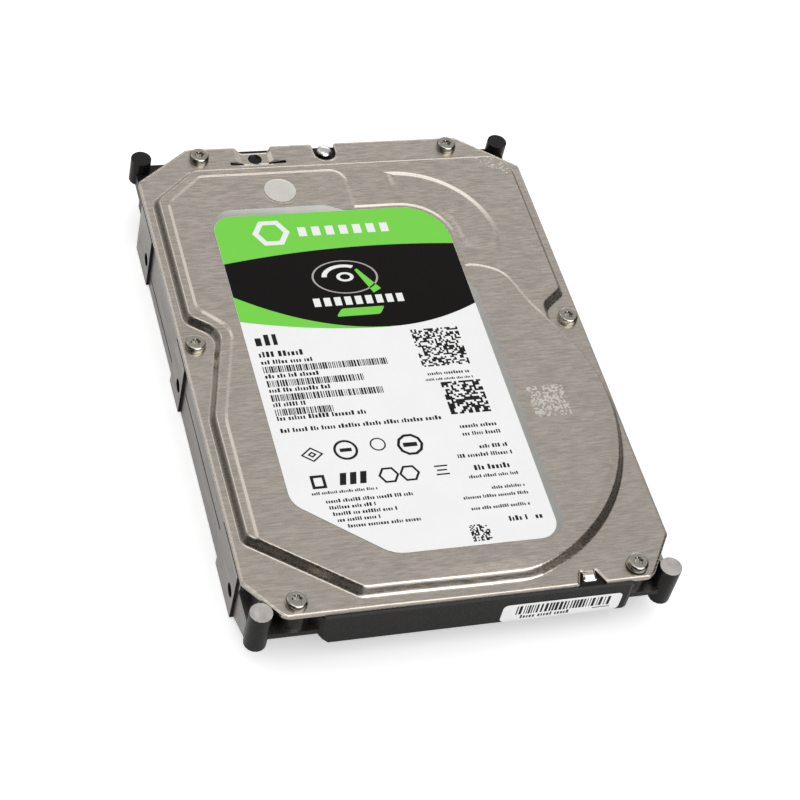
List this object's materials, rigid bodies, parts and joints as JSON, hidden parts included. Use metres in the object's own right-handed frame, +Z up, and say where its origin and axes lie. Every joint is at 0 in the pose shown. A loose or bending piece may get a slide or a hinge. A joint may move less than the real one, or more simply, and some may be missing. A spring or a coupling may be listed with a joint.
{
  "type": "hard disk drive",
  "caption": "Slim 3.5-inch hard disk drive: black die-cast base, brushed stamped cover with label, spinning platter, swinging head actuator, coil motor, latch and circuit board.",
  "frame": {"origin": "centre of the footprint, on the plane of the drive's underside rails", "axes": "+X across the drive, +Y towards the end with the SATA connector, +Z up through the label"},
  "size_m": [0.1016, 0.147, 0.0202],
  "materials": {
    "base_casting": "black electrocoated die-cast aluminium, machined bare on the side pads and front post tops",
    "top_cover": "warm grey stamped stainless sheet, brushed across its width",
    "cover_gasket": "matt black formed-in-place rubber",
    "top_label": null,
    "port_seal": "satin silver foil sticker",
    "front_label": null,
    "screw_steel": "bright nickel-plated steel",
    "motor_steel": "ground steel",
    "lamination": "stacked silicon steel sheets",
    "copper_wire": "enamelled copper wire",
    "magnet": "nickel-plated sintered magnet",
    "machined_aluminium": "machined aluminium",
    "platter": "mirror-finished coated disk",
    "black_plastic": "moulded black plastic",
    "pale_plastic": "moulded ivory plastic",
    "stop_rubber": "matt black rubber",
    "flex_film": "amber polyimide film",
    "filter_cloth": "white non-woven filter cloth",
    "circuit_board": "dark blue-green solder mask on glass-epoxy board",
    "foam": "dark open-cell foam",
    "chip": "black epoxy"
  },
  "bodies": {
    "base": {"base_casting": "base_casting", "top_cover": "top_cover", "cover_gasket": "cover_gasket", "top_label": "top_label", "port_seal": "port_seal", "front_label": "front_label", "bearing_sleeve": "motor_steel", "bearing_end_plate": "motor_steel", "stator_core": "lamination", "stator_windings": "copper_wire", "ramp": "pale_plastic", "lower_yoke": "motor_steel", "upper_yoke": "motor_steel", "lower_magnet": "magnet", "upper_magnet": "magnet", "pivot_shaft": "motor_steel", "inner_crash_stop": "stop_rubber", "outer_crash_stop": "stop_rubber", "latch_pin": "motor_steel", "flex_bracket": "black_plastic", "flex_cable": "flex_film", "recirculation_filter": "filter_cloth", "breather_filter": "filter_cloth", "circuit_board": "circuit_board", "board_insulator": "foam", "sata_connector": "black_plastic", "controller_chip": "chip", "motor_driver_chip": "chip", "memory_chip": "chip", "cover_screw_1": "screw_steel", "cover_screw_2": "screw_steel", "cover_screw_3": "screw_steel", "cover_screw_4": "screw_steel", "cover_screw_5": "screw_steel", "cover_screw_6": "screw_steel", "board_screw_1": "screw_steel", "board_screw_2": "screw_steel", "board_screw_3": "screw_steel", "board_screw_4": "screw_steel", "ramp_screw": "screw_steel", "yoke_screw": "screw_steel", "pivot_screw": "screw_steel", "flex_bracket_screw": "screw_steel"},
    "spindle": {"spindle_hub": "machined_aluminium", "spindle_shaft": "motor_steel", "rotor_magnet": "magnet", "platter": "platter", "disk_clamp": "machined_aluminium", "clamp_screw": "screw_steel"},
    "actuator": {"e_block": "machined_aluminium", "pivot_bearing": "motor_steel", "voice_coil": "copper_wire", "coil_overmould": "black_plastic", "upper_suspension": "screw_steel", "lower_suspension": "screw_steel", "upper_head_slider": "chip", "lower_head_slider": "chip", "preamp_chip": "chip"},
    "latch": {"latch_lever": "pale_plastic"}
  },
  "joints": [
    {"name": "spindle_spin", "type": "hinge", "parent": "base", "child": "spindle", "pos_m": [0, -0.0215, 0.012], "axis": [0, 0, 1], "continuous": true},
    {"name": "actuator_swing", "type": "hinge", "parent": "base", "child": "actuator", "pos_m": [0.013, 0.037, 0.012], "axis": [0, 0, 1], "range_deg": [0, 33.5], "deforming": ["flex_cable"]},
    {"name": "latch_swing", "type": "hinge", "parent": "base", "child": "latch", "pos_m": [0.0432, 0.0285, 0.012], "axis": [0, 0, 1], "range_deg": [0, 10]}
  ]
}
